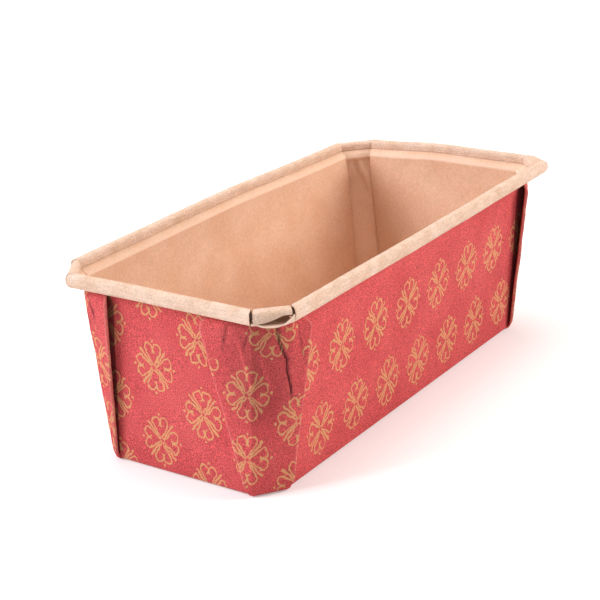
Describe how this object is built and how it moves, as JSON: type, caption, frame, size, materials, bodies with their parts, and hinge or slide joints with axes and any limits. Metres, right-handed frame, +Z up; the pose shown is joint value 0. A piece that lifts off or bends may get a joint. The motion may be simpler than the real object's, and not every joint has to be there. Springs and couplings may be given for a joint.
{
  "type": "paper baking mold",
  "caption": "Loaf-shaped baking mold pressed from one sheet of kraft paper, with flared walls, folded corners and a rolled rim",
  "frame": {"origin": "middle of the underside of the base", "axes": "+X along the length, +Y across the width, +Z up out of the mold's mouth"},
  "size_m": [0.1668, 0.0828, 0.0608],
  "materials": {
    "printed_paper": "red printed kraft paper outside, bare kraft inside and on the rim"
  },
  "bodies": {
    "root": {"paper_mold": "printed_paper"}
  },
  "joints": []
}
